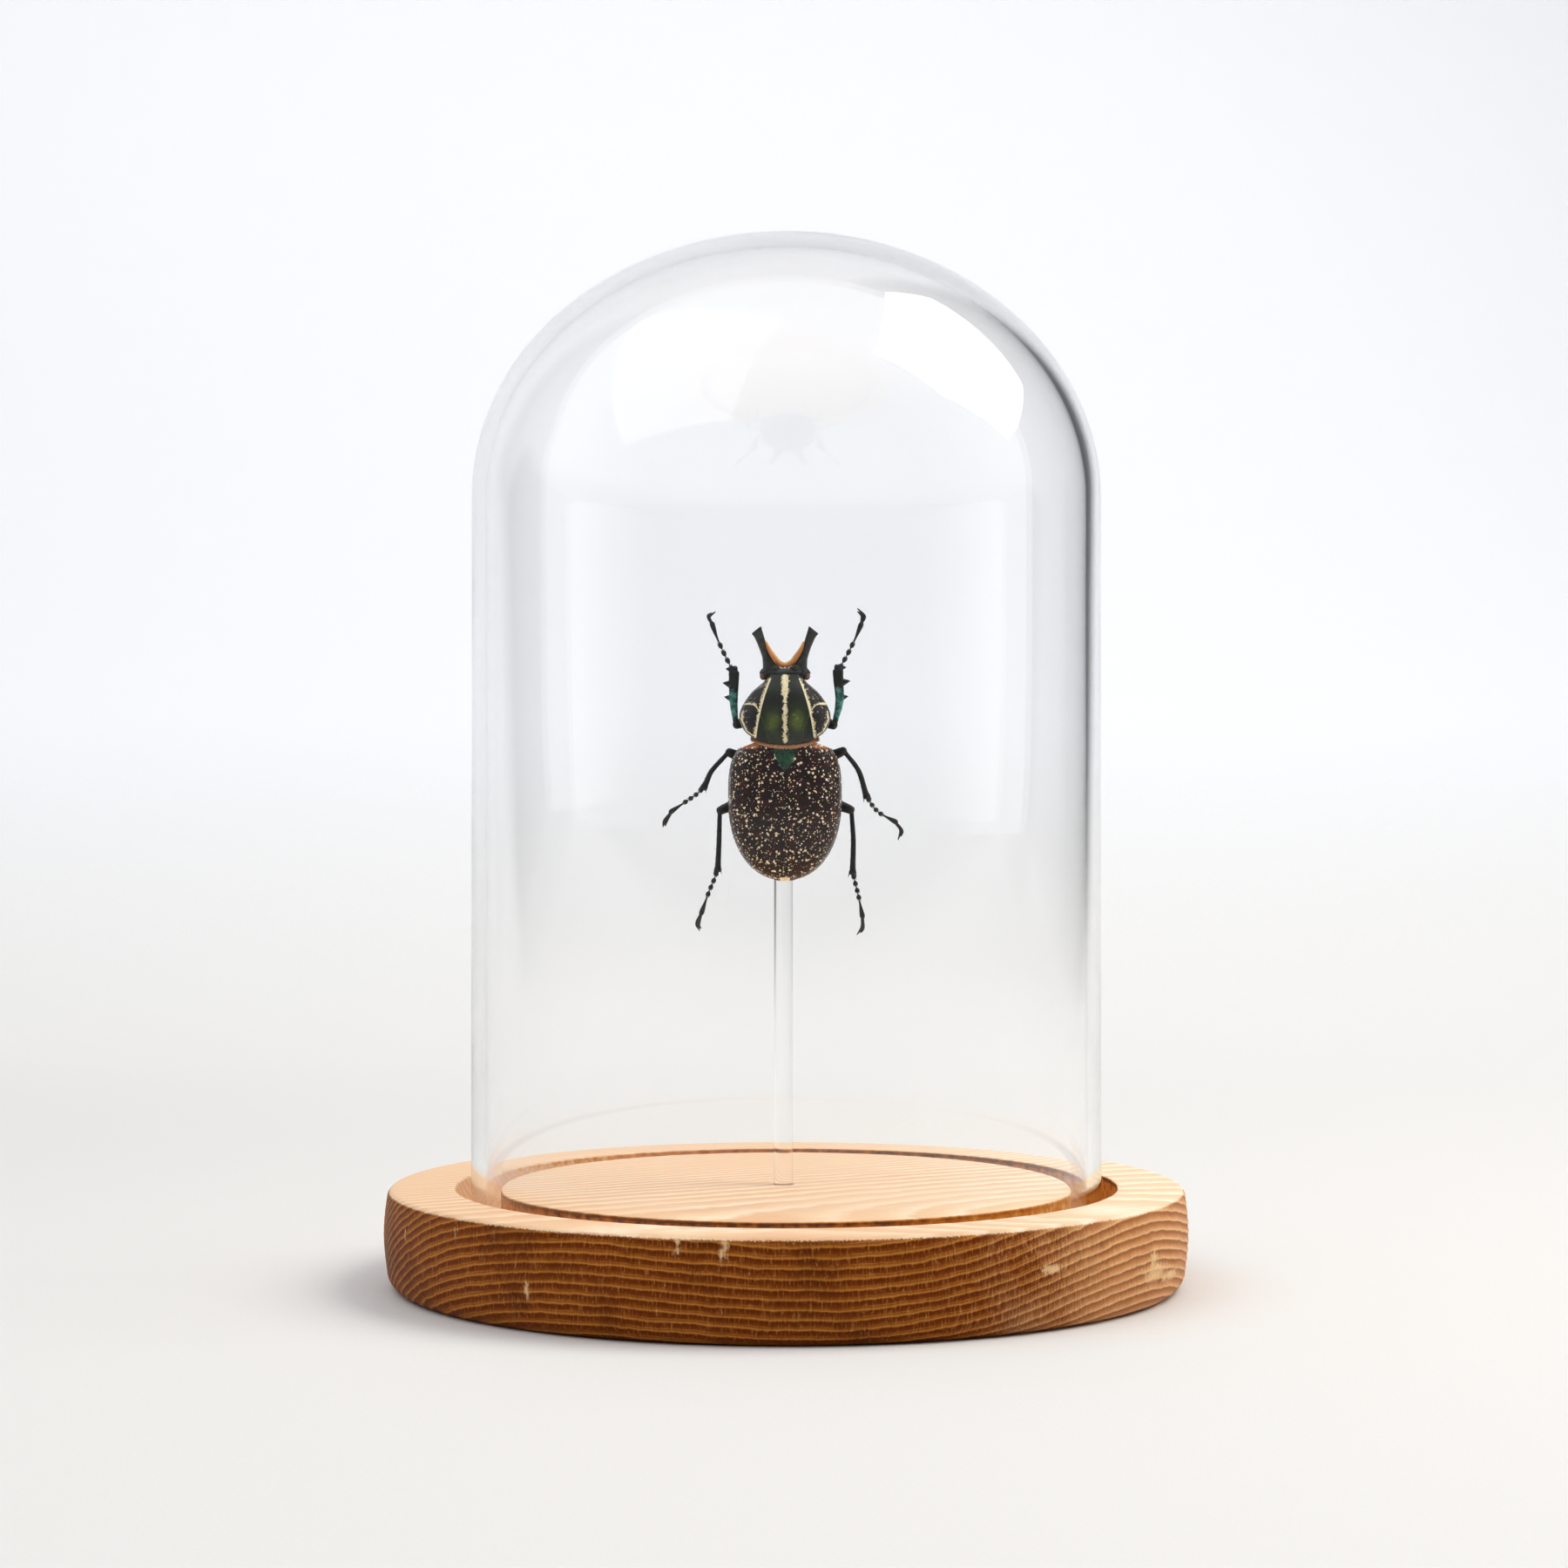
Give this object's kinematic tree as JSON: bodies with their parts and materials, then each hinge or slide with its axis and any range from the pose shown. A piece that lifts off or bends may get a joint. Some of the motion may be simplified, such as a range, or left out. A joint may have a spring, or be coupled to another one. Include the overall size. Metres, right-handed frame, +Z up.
{
  "type": "insect in glass dome",
  "caption": "Horned flower beetle mounted upright on a clear rod, under a glass bell dome that rests in a grooved round wooden base.",
  "frame": {"origin": "centre of the wooden base's underside, on the dome's axis", "axes": "+Z up, towards the beetle's head and the dome's top; the beetle's back faces -Y and its right side +X"},
  "size_m": [0.1274, 0.1274, 0.1666],
  "materials": {
    "torched_wood": "softwood, pale on top, its side torched brown and brushed, unvarnished",
    "clear_glass": "clear blown glass with a fire-polished foot",
    "clear_acrylic": "clear polished rod",
    "black_chitin": "satin black with a faint green sheen, finely pitted",
    "olive_green_chitin": "dark green gloss with cream lines",
    "speckled_maroon_chitin": "dark maroon gloss, densely speckled with cream",
    "emerald_chitin": "metallic green, pitted",
    "brown_eye": "glossy brown",
    "orange_setae": "short orange bristles"
  },
  "bodies": {
    "root": {"wooden_base": "torched_wood", "glass_dome": "clear_glass", "display_rod": "clear_acrylic", "head": "black_chitin", "eye_left": "brown_eye", "eye_right": "brown_eye", "antenna_left": "black_chitin", "antenna_right": "black_chitin", "prothorax": "olive_green_chitin", "thorax": "black_chitin", "abdomen": "black_chitin", "pygidium": "speckled_maroon_chitin", "scutellum": "emerald_chitin", "elytron_left": "speckled_maroon_chitin", "elytron_right": "speckled_maroon_chitin", "fore_left_femur": "black_chitin", "fore_left_tibia": "emerald_chitin", "fore_left_tarsus": "black_chitin", "fore_right_femur": "black_chitin", "fore_right_tibia": "emerald_chitin", "fore_right_tarsus": "black_chitin", "mid_left_femur": "black_chitin", "mid_left_tibia": "black_chitin", "mid_left_tarsus": "black_chitin", "mid_right_femur": "black_chitin", "mid_right_tibia": "black_chitin", "mid_right_tarsus": "black_chitin", "hind_left_femur": "black_chitin", "hind_left_tibia": "black_chitin", "hind_left_tarsus": "black_chitin", "hind_right_femur": "black_chitin", "hind_right_tibia": "black_chitin", "hind_right_tarsus": "black_chitin"}
  },
  "joints": []
}
